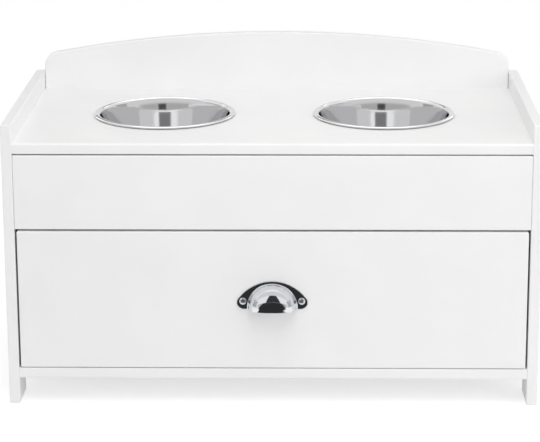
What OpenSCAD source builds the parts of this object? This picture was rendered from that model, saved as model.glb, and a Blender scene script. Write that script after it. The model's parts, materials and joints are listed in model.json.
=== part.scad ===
// Raised feeding station for a dog: a small cabinet with two lift-out steel bowls in its
// top, an arched back board and one wide storage drawer on roller slides.
// Sizes are in millimetres. X runs to the right, Y to the back and Z up from the floor.
// The origin lies on the floor, at the middle of the whole outline seen from above.

/* [Cabinet] */
// Overall width, across the outer faces of the side panels
body_w = 600; // [520:5:760]
// Depth of the side panels, front edge to back edge
body_d = 306; // [294:1:360]
// Height of the side panels
side_h = 326; // [310:1:400]
// Thickness of the lacquered boards of the cabinet and the drawer front
board_t = 12; // [11:0.5:15]
// How far the side panels stand above the top panel
lip_h = 21; // [5:1:36]
// Floor to the underside of the bottom panel
leg_h = 31; // [20:1:44]
// Depth of each leg, from its outer edge to the cut-out
leg_w = 48; // [30:1:80]
// Board left between the leg cut-out and the bottom panel's underside
leg_web = 6; // [2:1:12]
// Corner radius of the leg cut-out
leg_r = 10; // [3:1:12]
// Radius of the eased edges of the boards
edge_r = 1.2; // [0.5:0.1:2]
// Radius along the front edge of the top panel
nose_r = 2.5; // [1:0.1:4]

/* [Back board] */
// Crown of the arch above the top of the side panels
arch_up = 49.5; // [40:0.5:80]
// Fall of the arch from its crown to its corners
arch_fall = 25; // [12:0.5:28]
// Radius of the arch's two corners
arch_r = 17; // [10:0.5:19]
// Gap between the back board and each side panel
back_gap = 0.2; // [0.1:0.1:1.6]

/* [Front] */
// Height of the fixed apron under the top panel
apron_h = 85; // [76:1:92]
// Gap at each end of the apron
apron_gap = 0.2; // [0.1:0.1:1.6]
// Gap between the apron and the top panel
apron_top_gap = 1.5; // [0.5:0.1:2.5]
// Gap at each side of the drawer front
front_side_gap = 2.2; // [1.5:0.1:3]
// Gap between the apron and the drawer front
front_top_gap = 2.3; // [1:0.1:3]
// Gap between the drawer front and the bottom panel
front_bottom_gap = 0.8; // [0.5:0.1:3]
// Corner radius of the drawer front's outline
front_r = 2; // [1:0.1:4]

/* [Drawer box] */
// Height of the drawer's sides
box_h = 120; // [90:1:125]
// Thickness of the drawer's sides and back
box_t = 12; // [11:0.5:13]
// Free space between the drawer's back and the back board
box_back_gap = 17; // [12:0.5:22]
// Thickness of the hardboard drawer bottom
base_t = 3; // [2.5:0.1:4]
// Height of the bottom's groove above the lower edge of the sides
base_up = 10; // [8:0.5:12]
// Depth of the grooves that hold the bottom
groove_d = 6; // [4:0.5:8]
// Clearance of the bottom in its grooves
base_gap = 0.2; // [0.1:0.05:0.4]

/* [Roller slides] */
// Length of the slide rails
rail_len = 250; // [220:5:252]
// Sheet thickness of the rails
rail_t = 1.2; // [1:0.1:1.3]
// Space between a side panel and the drawer box
rail_space = 12.5; // [12.4:0.05:13]
// Lower edge of the rails above the bottom panel
rail_up = 13; // [8:0.5:16]
// Cabinet rail's front end behind the drawer front
rail_back = 3; // [2:0.5:6]
// Drawer rail's front end behind the drawer front
rail_start = 1; // [0.5:0.1:2]
// Diameter of the nylon rollers
roller_d = 22; // [19:0.5:23]
// Width of the nylon rollers
roller_w = 6.5; // [5:0.1:6.6]
// Play between a roller and the flange that it runs on
roller_gap = 0.3; // [0.2:0.05:0.4]
// Play at each side face of a roller
roller_side_gap = 0.2; // [0.15:0.05:0.3]
// Distance of a roller's centre from the end of its rail
roller_end = 14; // [12.5:0.5:20]
// Diameter of the rivets that carry the rollers
rivet_d = 5; // [4:0.1:6]
// Diameter of the rivets' heads
rivet_head_d = 9; // [7.5:0.5:11]
// Thickness of the rivets' heads and shoulders
rivet_head_t = 1; // [0.8:0.05:1.1]
// Running clearance of a roller on its rivet
rivet_gap = 0.05; // [0.03:0.01:0.1]
// Space over the drawer rail's flange, under the cabinet rail's upper flange
flange_gap = 1; // [0.6:0.1:1.6]
// Space between the edge of a flange and the other rail
flange_side_gap = 1.1; // [0.9:0.1:1.4]

/* [Bowls] */
// Inner diameter of a bowl at its mouth
mouth_d = 151; // [130:1:170]
// Width of the sloping rim
rim_w = 7.5; // [7:0.5:11]
// Height of the rim's crest above the top panel
rim_h = 3; // [2.4:0.1:4]
// Radius of the bend between the bowl's wall and its rim
rim_bend = 4.2; // [3:0.1:4.4]
// Depth of a bowl below the top panel
bowl_h = 48; // [35:1:70]
// How far the bowl's wall leans in, from mouth to floor
bowl_lean = 7.5; // [3:0.5:14]
// Radius between the bowl's wall and floor
bowl_r = 20; // [10:0.5:26]
// Thickness of the bowl's sheet steel
bowl_t = 0.8; // [0.6:0.05:1.2]
// Gap round the bowl in its hole
bowl_gap = 1.2; // [0.6:0.1:2]
// Distance between the centres of the two bowls
bowl_span = 257; // [230:1:300]
// Distance of the bowls' centres behind the front edge
bowl_in = 150; // [140:1:158]
// Seat clearance under the rim
seat_gap = 0.1; // [0.05:0.05:0.3]

/* [Cup pull] */
// Radius of the half-round cup at the drawer front
cup_r = 27.5; // [22:0.5:29]
// Height of the cup's axis above the flange's lower edge
cup_up = 2.9; // [0:0.1:5]
// How far the cup stands out from the drawer front
cup_out = 23; // [18:0.5:30]
// Wall thickness of the cup
cup_t = 1.5; // [1.2:0.1:2.5]
// Fullness of the cup's curve, 2 for an ellipse and more for a squarer shape
cup_full = 2.35; // [2:0.05:3]
// Rise of the cup's lower lip towards its front, in degrees
cup_lip = 8; // [0:1:15]
// Thickness of the flange plate
plate_t = 1.8; // [1.4:0.1:2.6]
// Width of the step round the edge of the flange
plate_step = 0.7; // [0.4:0.1:1]
// Half the distance between the two screws
pull_screw_x = 33; // [31.5:0.5:36]
// Height of the screws above the flange's lower edge
pull_screw_z = 10.6; // [9:0.1:11.4]
// Height of the centres of the flange's round ends above its lower edge
plate_end_z = 8.4; // [7.6:0.1:10]
// Height of the flange plate
plate_h = 33.8; // [33:0.1:36]
// Radius of the flange's upper arc
plate_arc_r = 47; // [46:0.5:50]
// Diameter of the pull's screw heads
pull_head_d = 8; // [6:0.5:9]
// Height of the pull's screw heads
pull_head_h = 2.4; // [1.8:0.1:3]

/* [Fittings] */
// Diameter of the cam discs
cam_d = 12; // [10:0.5:15]
// Distance of a cam disc's centre from the joint
cam_set = 24; // [20:1:34]
// Diameter of the cam bolts' heads
bolt_head_d = 5.6; // [5:0.1:6]
// Diameter of the cam bolts' shanks
bolt_d = 4; // [3:0.1:4.6]
// Depth of the cam bolts' threads in the board
bolt_in = 8; // [6:0.5:9]
// Diameter of the wooden dowels
dowel_d = 6; // [5:0.1:7]
// Length of the wooden dowels
dowel_len = 26; // [20:1:32]
// Depth of the dowels in a board's face
dowel_in = 8; // [6:0.5:9]
// Clearance of dowels, bolts and discs in their holes
fit_gap = 0.1; // [0.05:0.01:0.2]
// Diameter of the wood screws
screw_d = 3.5; // [3:0.1:4]
// Diameter of the wood screws' heads
screw_head_d = 7; // [6:0.1:8]
// Thickness of the flat heads on the rails
screw_head_t = 0.8; // [0.6:0.05:0.9]
// Length of the screws through the back board and the drawer's sides
screw_len = 35; // [28:1:40]
// Length of the rail screws and pull screws in the board
short_screw = 9; // [7:0.5:9.5]
// Distance of the end screws of a cabinet rail from its ends
rail_screw_in = 45; // [34:1:60]
// Distance of the first screw of a drawer rail from its front end
drawer_screw_in = 35; // [20:1:50]
// Distance of the last screw of a drawer rail from its back end
drawer_screw_end = 55; // [34:1:70]
// Distance of the outer cam bolts from the front edge and the back board
joint_in = 40; // [30:1:50]
// Distance from those cam bolts to their dowels
dowel_step = 32; // [26:1:40]
// Height of the back board's cam bolts from the bottom panel and from the top panel
back_cam_up = 60; // [45:1:64]
// Distance of the apron's dowels from its middle
apron_pin = 26; // [20:1:30]
// Distance of the outer screws through the back board from the side panels
back_screw_in = 88; // [60:2:120]
// Height of the drawer front's lower cam bolts in the drawer's sides
box_cam_low = 34; // [26:1:40]
// Distance of the upper cam bolts from the top of the drawer's sides
box_cam_high = 24; // [16:1:30]
// Height of the lower screws of the drawer's back
box_screw_low = 38; // [28:1:48]
// Distance of the upper screws of the drawer's back from its top
box_screw_high = 22; // [12:1:30]
// Distance of the outer screws of the drawer bottom from the drawer's sides
base_screw_in = 84; // [50:2:120]
// Length of the screws of the drawer bottom
base_screw_len = 14; // [10:1:18]
// Diameter of the screws of the drawer bottom
base_screw_d = 3; // [2.5:0.1:3.5]
// Diameter of their heads
base_head_d = 6; // [5:0.1:7]
// Height of their heads
base_head_h = 1.6; // [1.2:0.1:2]

/* [Hidden] */
$fn = 96;
// Cuts reach this far past the faces they open
cut = 1;
// Board left behind a cam disc
cam_skin = 2.4;
// Half the length of a cam bolt's head
bolt_head_half = 2;
// Width and depth of the cross in a cam disc's face
cam_cross = [1.4, 1.2];
// Width and depth of the cross in a pull screw's head
screw_cross = [0.9, 1.2];
// Arms of both crosses, as a share of the round face they are in
cross_reach = 0.6;

// The outline on the floor is the cabinet and the pull that stands out in front of it
total_d = body_d + cup_out;
front_y = cup_out - total_d / 2;
back_y = front_y + body_d;
in_w = body_w - 2 * board_t;
back_face_y = back_y - board_t;
top_z = side_h - lip_h;
top_under_z = top_z - board_t;
floor_z = leg_h + board_t;
apron_top_z = top_under_z - apron_top_gap;
apron_bottom_z = apron_top_z - apron_h;
front_top_z = apron_bottom_z - front_top_gap;
front_bottom_z = floor_z + front_bottom_gap;
front_w = in_w - 2 * front_side_gap;

// Drawer box
box_y = front_y + board_t;
box_end_y = back_face_y - box_back_gap;
box_w = in_w - 2 * rail_space;
rail_z = floor_z + rail_up;
box_z = rail_z + rail_t;
box_top_z = box_z + box_h;
base_z = box_z + base_up;
box_back_y = box_end_y - box_t;

// Roller slides, measured inwards from a side panel's face
roller_r = roller_d / 2;
roller_z = rail_z + rail_t + roller_gap + roller_r;
flange_z = roller_z + roller_r + roller_gap;
rail_h = flange_z + rail_t + flange_gap + rail_t - rail_z;
drawer_web_x = rail_space - rail_t;
cabinet_flange_x = drawer_web_x - flange_side_gap;
rail_y = box_y + rail_back;
drawer_rail_y = box_y + rail_start;
front_roller_y = rail_y + roller_end;
rear_roller_y = drawer_rail_y + rail_len - roller_end;
front_roller_x = rail_t + rivet_head_t + roller_side_gap;
rear_roller_x = drawer_web_x - rivet_head_t - roller_side_gap - roller_w;
rail_screw_z = roller_z;
drawer_screw_z = flange_z - screw_head_d / 2 - roller_gap;
rail_screw_ys = [rail_screw_in, rail_len / 2, rail_len - rail_screw_in];
drawer_screw_ys = [drawer_screw_in, (drawer_screw_in + rail_len - drawer_screw_end) / 2,
    rail_len - drawer_screw_end];

// Bowls
mouth_r = mouth_d / 2;
rim_r = mouth_r + rim_w;
hole_r = mouth_r + bowl_t + bowl_gap;
bowl_y = front_y + bowl_in;
bowl_x = bowl_span / 2;

// Joints of the side panels with the other boards: depth, height and the turn about X that
// brings the open face of the cam disc to that board's hidden face
below = 180;
behind = -90;
before = 90;
apron_mid_z = (apron_top_z + apron_bottom_z) / 2;
panel_cams = [
    [front_y + joint_in, top_z - board_t / 2, below],
    [back_face_y - joint_in, top_z - board_t / 2, below],
    [front_y + joint_in, leg_h + board_t / 2, below],
    [back_face_y - joint_in, leg_h + board_t / 2, below],
    [front_y + board_t / 2, apron_mid_z, behind],
    [back_y - board_t / 2, floor_z + back_cam_up, before],
    [back_y - board_t / 2, top_under_z - back_cam_up, before]];
panel_pins = [
    [front_y + joint_in + dowel_step, top_z - board_t / 2],
    [back_face_y - joint_in - dowel_step, top_z - board_t / 2],
    [front_y + joint_in + dowel_step, leg_h + board_t / 2],
    [back_face_y - joint_in - dowel_step, leg_h + board_t / 2],
    [front_y + board_t / 2, apron_mid_z + apron_pin],
    [front_y + board_t / 2, apron_mid_z - apron_pin],
    [back_y - board_t / 2, floor_z + back_cam_up + dowel_step],
    [back_y - board_t / 2, top_under_z - back_cam_up - dowel_step]];
// Joints of the drawer front and back with the drawer's sides, as heights
box_cam_zs = [box_z + box_cam_low, box_top_z - box_cam_high];
box_pin_zs = [(box_cam_zs[0] + box_cam_zs[1]) / 2];
box_screw_zs = [box_z + box_screw_low, box_top_z - box_screw_high];
back_screw_xs = [for (s = [-1, 0, 1]) s * (in_w / 2 - back_screw_in)];
base_screw_xs = [for (s = [-1, 0, 1]) s * (box_w / 2 - box_t - base_screw_in)];

// Colours
white = [0.95, 0.95, 0.94];
steel = [0.78, 0.78, 0.8];
chrome = [0.7, 0.7, 0.72];
zinc = [0.6, 0.6, 0.62];
beech = [0.82, 0.68, 0.48];
nylon = [0.9, 0.9, 0.88];

// Block between its lowest and highest corners
module span(lo, hi) {
    translate(lo) cube(hi - lo);
}

// Flat rectangle with round corners between two corners
module rounded(lo, hi, r) {
    translate([lo[0] + r, lo[1]]) square([hi[0] - lo[0] - 2 * r, hi[1] - lo[1]]);
    translate([lo[0], lo[1] + r]) square([hi[0] - lo[0], hi[1] - lo[1] - 2 * r]);
    for (x = [lo[0] + r, hi[0] - r], y = [lo[1] + r, hi[1] - r])
        translate([x, y]) circle(r);
}

// Arc of points about a centre, from angle a0 to a1
function arc(c, r, a0, a1, steps = 8) = [for (i = [0:steps])
    let (a = a0 + (a1 - a0) * i / steps) [c[0] + r * cos(a), c[1] + r * sin(a)]];

// Extrudes an outline drawn in depth and height along X, from x0 to x1
module along_x(x0, x1) {
    translate([x0, 0, 0]) rotate([90, 0, 90]) linear_extrude(x1 - x0) children();
}

// Extrudes an outline drawn in width and height along Y, from y0 to y1
module along_y(y0, y1) {
    translate([0, y1, 0]) rotate([90, 0, 0]) linear_extrude(y1 - y0) children();
}

// Board with eased edges; r is the radius of its outline seen from the front
module eased(lo, hi, r = edge_r) {
    intersection() {
        along_y(lo[1], hi[1]) rounded([lo[0], lo[2]], [hi[0], hi[2]], r);
        along_x(lo[0], hi[0]) rounded([lo[1], lo[2]], [hi[1], hi[2]], edge_r);
        translate([0, 0, lo[2]]) linear_extrude(hi[2] - lo[2])
            rounded([lo[0], lo[1]], [hi[0], hi[1]], edge_r);
    }
}

// Puts its children at a point of a side panel's inner face: local X points into the
// cabinet and local Z out of the face that shows the cam disc
module on_side(side, y, z, turn = 0) {
    mirror([side > 0 ? 1 : 0, 0, 0])
        translate([-in_w / 2, y, z]) rotate([turn, 0, 0]) children();
}

// Puts its children at the back face of the drawer front: local X points backwards and
// local Z into the drawer
module on_front(side, z) {
    mirror([side > 0 ? 1 : 0, 0, 0])
        translate([-box_w / 2 + box_t / 2, box_y, z]) rotate([0, 0, 90]) rotate([90, 0, 0])
            children();
}

// Cylinder along local X from x0 to x1
module rod(x0, x1, r) {
    translate([x0, 0, 0]) rotate([0, 90, 0]) cylinder(r = r, h = x1 - x0);
}

// Cam bolt: thread in one board, shank and head in the end of the other
module cam_bolt() {
    rod(-bolt_in, 0, bolt_head_d / 2);
    rod(0, cam_set - bolt_head_half, bolt_d / 2);
    rod(cam_set - bolt_head_half, cam_set + bolt_head_half, bolt_head_d / 2);
}

// Hole for the cam bolt's thread
module bolt_hole() {
    rod(-bolt_in - fit_gap, cut, bolt_head_d / 2 + fit_gap);
}

// Hole for the cam bolt's shank in the end of a board of thickness t, and for its disc
module cam_hole(t) {
    rod(-cut, cam_set, bolt_head_d / 2 + 2 * fit_gap);
    translate([cam_set, 0, t / 2 - cam_deep(t) - fit_gap])
        cylinder(d = cam_d + 2 * fit_gap, h = cam_deep(t) + fit_gap + cut);
}

function cam_deep(t) = t - cam_skin;

// Cross recess about the origin, sunk from the level z = 0
module cross(size, reach) {
    for (turn = [45, 135]) rotate([0, 0, turn])
        cube([reach, size[0], 2 * size[1]], center = true);
}

// Cam disc with its bolt bore and its cross slot
module cam_disc(t) {
    difference() {
        translate([cam_set, 0, t / 2 - cam_deep(t)]) cylinder(d = cam_d, h = cam_deep(t));
        rod(0, cam_set + bolt_head_half + fit_gap, bolt_head_d / 2 + fit_gap);
        translate([cam_set, 0, t / 2]) cross(cam_cross, cam_d * cross_reach);
    }
}

module dowel() {
    rod(-dowel_in, dowel_len - dowel_in, dowel_d / 2);
}

module dowel_hole() {
    rod(-dowel_in - fit_gap, dowel_len - dowel_in + cut, dowel_d / 2 + fit_gap);
}

// Countersunk wood screw that points along local X, its head flush at the origin
module sunk_screw(gap = 0) {
    head_deep = (screw_head_d - screw_d) / 2;
    translate([-gap, 0, 0]) rotate([0, 90, 0])
        cylinder(r1 = screw_head_d / 2 + gap, r2 = screw_d / 2 + gap, h = head_deep + gap);
    rod(head_deep - gap, screw_len + gap, screw_d / 2 + gap);
}

// Flat-headed screw that points along local X, its head on the near side of the origin
module flat_screw(grip) {
    rod(-screw_head_t, 0, screw_head_d / 2);
    rod(0, grip + short_screw, screw_d / 2);
}

// Side panels

module leg_cut() {
    y0 = front_y + leg_w;
    y1 = back_y - leg_w;
    along_x(-body_w, body_w)
        rounded([y0, -2 * leg_r], [y1, leg_h - leg_web], leg_r);
}

module side_panel(side) {
    color(white) difference() {
        eased([side > 0 ? in_w / 2 : -body_w / 2, front_y, 0],
            [side > 0 ? body_w / 2 : -in_w / 2, back_y, side_h]);
        leg_cut();
        for (p = panel_cams) on_side(side, p[0], p[1]) bolt_hole();
        for (p = panel_pins) on_side(side, p[0], p[1]) dowel_hole();
        for (y = rail_screw_ys) on_side(side, rail_y + y, rail_screw_z)
            rod(-short_screw - fit_gap, cut, screw_d / 2 + fit_gap);
    }
}

// Boards between the side panels

module end_joints() {
    for (side = [-1, 1]) {
        for (p = panel_cams) on_side(side, p[0], p[1], p[2]) cam_hole(board_t);
        for (p = panel_pins) on_side(side, p[0], p[1]) dowel_hole();
    }
}

// Outline of a level board with a round nose at its front, in depth and height
module nosed(z0, z1, r_top, r_under) {
    r = max(r_top, r_under);
    translate([front_y + r, z0]) square([back_face_y - front_y - r, z1 - z0]);
    translate([front_y, z0 + r_under]) square([r, z1 - z0 - r_top - r_under]);
    translate([front_y + r_top, z1 - r_top]) intersection() {
        circle(r_top);
        translate([-r_top, 0]) square(r_top);
    }
    translate([front_y + r_top, z1 - r_top]) square([r - r_top + cut, r_top]);
    translate([front_y + r_under, z0 + r_under]) intersection() {
        circle(r_under);
        translate([-r_under, -r_under]) square(r_under);
    }
    translate([front_y + r_under, z0]) square([r - r_under + cut, r_under]);
}

module back_screw_places() {
    for (x = back_screw_xs, z = [top_z - board_t / 2, leg_h + board_t / 2])
        translate([x, back_y, z]) rotate([0, 0, -90]) children();
}

module top_panel() {
    color(white) difference() {
        along_x(-in_w / 2, in_w / 2) nosed(top_under_z, top_z, nose_r, edge_r);
        for (side = [-1, 1])
            translate([side * bowl_x, bowl_y, top_under_z - cut])
                cylinder(r = hole_r, h = board_t + 2 * cut);
        end_joints();
        back_screw_places() sunk_screw(fit_gap);
    }
}

module bottom_panel() {
    color(white) difference() {
        along_x(-in_w / 2, in_w / 2) nosed(leg_h, floor_z, edge_r, edge_r);
        end_joints();
        back_screw_places() sunk_screw(fit_gap);
    }
}

module front_apron() {
    color(white) difference() {
        eased([-in_w / 2 + apron_gap, front_y, apron_bottom_z],
            [in_w / 2 - apron_gap, front_y + board_t, apron_top_z]);
        end_joints();
    }
}

// Outline of the back board in width and height: an arch between two round corners
module back_outline(inset) {
    half = in_w / 2 - back_gap;
    arc_x = half - arch_r;
    arc_r = (arc_x * arc_x + arch_fall * arch_fall) / (2 * arch_fall);
    arc_z = side_h + arch_up - arc_r;
    corner_z = arc_z + sqrt(pow(arc_r - arch_r, 2) - arc_x * arc_x);
    turn = asin(arc_x / (arc_r - arch_r));
    polygon(concat(
        [[-half + inset, leg_h + inset], [half - inset, leg_h + inset]],
        arc([arc_x, corner_z], arch_r - inset, 0, 90 - turn, 8),
        arc([0, arc_z], arc_r - inset, 90 - turn, 90 + turn, 28),
        arc([-arc_x, corner_z], arch_r - inset, 90 + turn, 180, 8)));
}

module back_board() {
    color(white) difference() {
        hull() for (a = [0, 45, 90]) {
            deep = edge_r * (1 - sin(a));
            along_y(back_y - board_t + deep, back_y - deep)
                back_outline(edge_r * (1 - cos(a)));
        }
        end_joints();
        back_screw_places() sunk_screw(fit_gap);
    }
}

// Fittings of the cabinet

module panel_dowels() {
    color(beech) for (side = [-1, 1], p = panel_pins) on_side(side, p[0], p[1]) dowel();
}

module panel_cam_bolts() {
    color(steel) for (side = [-1, 1], p = panel_cams) on_side(side, p[0], p[1]) cam_bolt();
}

module panel_cam_discs() {
    color(zinc) for (side = [-1, 1], p = panel_cams)
        on_side(side, p[0], p[1], p[2]) cam_disc(board_t);
}

module back_screws() {
    color(steel) back_screw_places() sunk_screw();
}

// Roller slides

// Channel on the side panel, open towards the drawer
module cabinet_rail(side) {
    color(white) on_side(side, rail_y, rail_z) difference() {
        union() {
            cube([rail_t, rail_len, rail_h]);
            for (z = [0, rail_h - rail_t])
                translate([0, 0, z]) cube([cabinet_flange_x, rail_len, rail_t]);
        }
        translate([0, roller_end, roller_z - rail_z])
            rod(-cut, rail_t + cut, rivet_d / 2 + fit_gap);
        for (y = rail_screw_ys) translate([0, y, rail_screw_z - rail_z])
            rod(-cut, rail_t + cut, screw_d / 2 + fit_gap);
    }
}

// Rail under the drawer's side: a foot below it, a web beside it and a running flange
module drawer_rail(side) {
    color(white) on_side(side, drawer_rail_y, rail_z) difference() {
        union() {
            translate([drawer_web_x, 0, 0])
                cube([rail_t, rail_len, flange_z + rail_t - rail_z]);
            translate([drawer_web_x, 0, 0]) cube([rail_t + box_t, rail_len, rail_t]);
            translate([rail_t + flange_side_gap, 0, flange_z - rail_z])
                cube([drawer_web_x - flange_side_gap, rail_len, rail_t]);
        }
        translate([0, rear_roller_y - drawer_rail_y, roller_z - rail_z])
            rod(drawer_web_x - cut, rail_space + cut, rivet_d / 2 + fit_gap);
        for (y = drawer_screw_ys) translate([0, y, drawer_screw_z - rail_z])
            rod(drawer_web_x - cut, rail_space + cut, screw_d / 2 + fit_gap);
    }
}

// Nylon roller with shallow recesses in its faces, its bore round the origin
module roller() {
    recess = 0.8;
    tread_t = 2.2;
    hub_edge = 0.4;
    difference() {
        rod(0, roller_w, roller_r);
        rod(-cut, roller_w + cut, rivet_d / 2 + rivet_gap);
        for (x = [-cut, roller_w - recess]) difference() {
            rod(x, x + recess + cut, roller_r - tread_t);
            rod(x - cut, x + recess + 2 * cut, rivet_head_d / 2 + hub_edge);
        }
    }
}

// Rivet from a web at x = 0: flush tail, shoulder, shank and head
module rivet() {
    shank = rivet_head_t + roller_w + 2 * roller_side_gap;
    rod(-rail_t, 0, rivet_d / 2);
    rod(0, rivet_head_t, rivet_head_d / 2);
    rod(rivet_head_t, shank, rivet_d / 2);
    rod(shank, shank + rivet_head_t, rivet_head_d / 2);
}

module cabinet_rail_screws() {
    color(steel) for (side = [-1, 1], y = rail_screw_ys)
        on_side(side, rail_y + y, rail_screw_z) translate([rail_t, 0, 0])
            mirror([1, 0, 0]) flat_screw(rail_t);
}

module front_roller_rivets() {
    color(steel) for (side = [-1, 1])
        on_side(side, front_roller_y, roller_z) translate([rail_t, 0, 0]) rivet();
}

module front_roller(side) {
    color(nylon) on_side(side, front_roller_y, roller_z)
        translate([front_roller_x, 0, 0]) roller();
}

module drawer_rail_screws() {
    color(steel) for (side = [-1, 1], y = drawer_screw_ys)
        on_side(side, drawer_rail_y + y, drawer_screw_z)
            translate([drawer_web_x, 0, 0]) flat_screw(rail_t);
}

module rear_roller_rivets() {
    color(steel) for (side = [-1, 1])
        on_side(side, rear_roller_y, roller_z)
            translate([drawer_web_x, 0, 0]) mirror([1, 0, 0]) rivet();
}

module rear_roller(side) {
    color(nylon) on_side(side, rear_roller_y, roller_z)
        translate([rear_roller_x, 0, 0]) roller();
}

// Drawer

// Space that the bottom's edge takes in the boards round it
module base_groove() {
    reach = box_w / 2 - box_t + groove_d;
    span([-reach, box_y - groove_d, base_z - base_gap],
        [reach, box_end_y + cut, base_z + base_t + base_gap]);
}

module pull_place() {
    z = (front_bottom_z + front_top_z) / 2 - pull_screw_z;
    translate([0, front_y, z]) rotate([90, 0, 0]) children();
}

module drawer_front() {
    color(white) difference() {
        eased([-front_w / 2, front_y, front_bottom_z],
            [front_w / 2, front_y + board_t, front_top_z], front_r);
        base_groove();
        for (side = [-1, 1]) {
            for (z = box_cam_zs) on_front(side, z) bolt_hole();
            for (z = box_pin_zs) on_front(side, z) dowel_hole();
        }
        pull_place() for (s = [-1, 1]) translate([s * pull_screw_x, pull_screw_z, -short_screw])
            cylinder(d = screw_d + 2 * fit_gap, h = short_screw + cut);
    }
}

module drawer_side(side) {
    x0 = side > 0 ? box_w / 2 - box_t : -box_w / 2;
    color(white) difference() {
        span([x0, box_y, box_z], [x0 + box_t, box_end_y, box_top_z]);
        base_groove();
        for (z = box_cam_zs) on_front(side, z) cam_hole(box_t);
        for (z = box_pin_zs) on_front(side, z) dowel_hole();
        for (y = drawer_screw_ys) on_side(side, drawer_rail_y + y, drawer_screw_z)
            rod(rail_space - cut, rail_space + short_screw + fit_gap, screw_d / 2 + fit_gap);
        box_screw_places() sunk_screw(fit_gap);
    }
}

module box_screw_places() {
    for (side = [-1, 1], z = box_screw_zs)
        on_side(side, box_end_y - box_t / 2, z) translate([rail_space, 0, 0]) children();
}

module base_screw_places() {
    for (x = base_screw_xs)
        translate([x, box_end_y - box_t / 2, base_z]) rotate([0, -90, 0]) children();
}

// Small screw up through the bottom into the drawer's back
module base_screw(gap = 0) {
    rod(-base_head_h - gap, 0, base_head_d / 2 + gap);
    rod(-base_head_h, base_screw_len + gap, base_screw_d / 2 + gap);
}

module drawer_back() {
    half = box_w / 2 - box_t;
    color(white) difference() {
        span([-half, box_back_y, base_z + base_t + base_gap], [half, box_end_y, box_top_z]);
        box_screw_places() sunk_screw(fit_gap);
        base_screw_places() base_screw(fit_gap);
    }
}

module drawer_bottom() {
    reach = box_w / 2 - box_t + groove_d - base_gap;
    color(white) difference() {
        span([-reach, box_y - groove_d + base_gap, base_z], [reach, box_end_y, base_z + base_t]);
        base_screw_places() base_screw(fit_gap);
    }
}

module drawer_dowels() {
    color(beech) for (side = [-1, 1], z = box_pin_zs) on_front(side, z) dowel();
}

module drawer_cam_bolts() {
    color(steel) for (side = [-1, 1], z = box_cam_zs) on_front(side, z) cam_bolt();
}

module drawer_cam_discs() {
    color(zinc) for (side = [-1, 1], z = box_cam_zs) on_front(side, z) cam_disc(box_t);
}

module drawer_back_screws() {
    color(steel) box_screw_places() sunk_screw();
}

module drawer_bottom_screws() {
    color(steel) base_screw_places() base_screw();
}

// Cup pull

// Outline of the flange plate: an upper arc, two round ends and a flat foot
module plate_outline(inset) {
    arc_z = plate_h - plate_arc_r;
    end_r = plate_arc_r - sqrt(pull_screw_x * pull_screw_x + pow(plate_end_z - arc_z, 2));
    turn = atan2(plate_end_z - arc_z, pull_screw_x);
    steps = 20;
    step = (180 - 2 * turn) / steps;
    polygon(concat(
        [[-cup_r, inset], [cup_r, inset]],
        arc([pull_screw_x, plate_end_z], end_r - inset, -90, turn, 10),
        arc([0, arc_z], plate_arc_r - inset, turn + step, 180 - turn - step, steps - 2),
        arc([-pull_screw_x, plate_end_z], end_r - inset, 180 - turn, 270, 10)));
}

// Quarter outline of the cup from the drawer front to its own front, inside a wall w thick
function cup_curve(w, steps = 18) = [for (i = [0:steps]) let (a = 90 * i / steps)
    [(cup_r - w) * pow(cos(a), 2 / cup_full), (cup_out - w) * pow(sin(a), 2 / cup_full)]];

module cup_pull() {
    outer = cup_curve(0);
    inner = cup_curve(cup_t);
    last = len(inner) - 1;
    far = 3 * cup_out;
    color(chrome) pull_place() {
        difference() {
            translate([0, cup_up, 0])
                rotate_extrude() polygon(concat(outer, [for (i = [0:last]) inner[last - i]]));
            rotate([-cup_lip, 0, 0]) translate([-far, -2 * far, -far])
                cube([2 * far, 2 * far, 3 * far]);
        }
        difference() {
            union() {
                linear_extrude(plate_t / 2) plate_outline(0);
                linear_extrude(plate_t) plate_outline(plate_step);
            }
            translate([0, cup_up, -cut])
                cylinder(r = cup_r - cup_t / 2, h = plate_t + 2 * cut);
            for (s = [-1, 1]) translate([s * pull_screw_x, pull_screw_z, -cut])
                cylinder(d = screw_d + 2 * fit_gap, h = plate_t + 2 * cut);
        }
    }
}

// Pan-head screw with a cross recess, its head on the flange
module pull_screw() {
    round_r = 1.2;
    tip_gap = 0.2;
    difference() {
        translate([0, 0, plate_t]) rotate_extrude() {
            square([pull_head_d / 2, pull_head_h - round_r]);
            square([pull_head_d / 2 - round_r, pull_head_h]);
            translate([pull_head_d / 2 - round_r, pull_head_h - round_r]) circle(round_r);
        }
        translate([0, 0, plate_t + pull_head_h]) rotate([0, 0, -45])
            cross(screw_cross, pull_head_d * cross_reach);
    }
    translate([0, 0, tip_gap - short_screw]) cylinder(d = screw_d, h = short_screw + plate_t);
}

module pull_screws() {
    color(steel) pull_place() for (s = [-1, 1])
        translate([s * pull_screw_x, pull_screw_z, 0]) rotate([0, 0, 20 * s]) pull_screw();
}

// Bowls

// Half section of one face of the bowl's sheet, w away from its inner face
function bowl_face(w) =
    let (lean = atan(bowl_lean / bowl_h),
        foot_r = mouth_r - bowl_lean,
        crest = [mouth_r + rim_bend, rim_h - rim_bend],
        edge_w = 0.8,
        edge_rise = 0.4,
        floor_c = [foot_r - bowl_r * cos(lean) + bowl_r * (1 - sin(lean)) * tan(lean),
            bowl_r - bowl_h])
    concat([[0, -bowl_h - w]],
        arc(floor_c, bowl_r + w, 270, 360 - lean, 12),
        arc(crest, rim_bend - w, 180 - lean, 70, 6),
        [[rim_r - edge_w, bowl_t + edge_rise - w], [rim_r, bowl_t - w]]);

module bowl(side) {
    inner = bowl_face(0);
    outer = bowl_face(bowl_t);
    last = len(outer) - 1;
    color(chrome) translate([side * bowl_x, bowl_y, top_z + seat_gap])
        rotate_extrude() polygon(concat(inner, [for (i = [0:last]) outer[last - i]]));
}

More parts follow.
